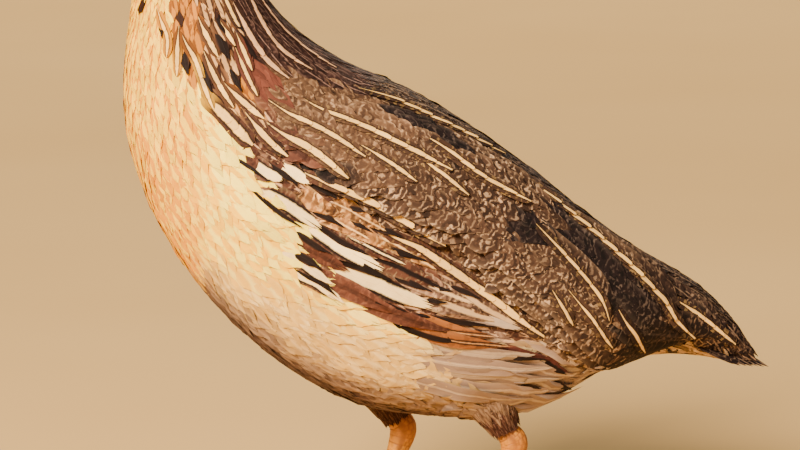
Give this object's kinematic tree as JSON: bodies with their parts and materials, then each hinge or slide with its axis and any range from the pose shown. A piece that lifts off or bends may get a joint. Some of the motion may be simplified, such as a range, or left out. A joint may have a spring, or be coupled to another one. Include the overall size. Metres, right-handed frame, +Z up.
{
  "type": "coturnix quail",
  "caption": "Life-size still model of a coturnix quail hen, standing alert on both feet with its head up and its wings folded.",
  "frame": {"origin": "on the floor, under the middle of the bird's bounding box", "axes": "+Z up; the bill points to -X, the tail to +X, and the bird's left side faces -Y"},
  "size_m": [0.1534, 0.0596, 0.1508],
  "materials": {
    "plumage": "small overlapping feathers, warm buff with cream shaft streaks and dark brown marks, matt",
    "flight_feathers": "smooth overlapping vanes, brown with fine buff bars and cream shaft lines, slight silky gloss",
    "bill": "smooth horn, satin",
    "eye": "wet and glossy, dark brown with a black pupil",
    "leg_skin": "small horny scales, satin",
    "claw": "smooth horn, satin"
  },
  "bodies": {
    "root": {"head": "plumage", "bill_upper": "bill", "bill_lower": "bill", "neck": "plumage", "torso": "plumage", "tail": "flight_feathers", "eye_left": "eye", "eye_right": "eye", "wing_left": "flight_feathers", "wing_right": "flight_feathers", "thigh_left": "plumage", "shank_left": "leg_skin", "toe_left_inner": "leg_skin", "claw_left_inner": "claw", "toe_left_middle": "leg_skin", "claw_left_middle": "claw", "toe_left_outer": "leg_skin", "claw_left_outer": "claw", "toe_left_hind": "leg_skin", "claw_left_hind": "claw", "thigh_right": "plumage", "shank_right": "leg_skin", "toe_right_inner": "leg_skin", "claw_right_inner": "claw", "toe_right_middle": "leg_skin", "claw_right_middle": "claw", "toe_right_outer": "leg_skin", "claw_right_outer": "claw", "toe_right_hind": "leg_skin", "claw_right_hind": "claw"}
  },
  "joints": []
}
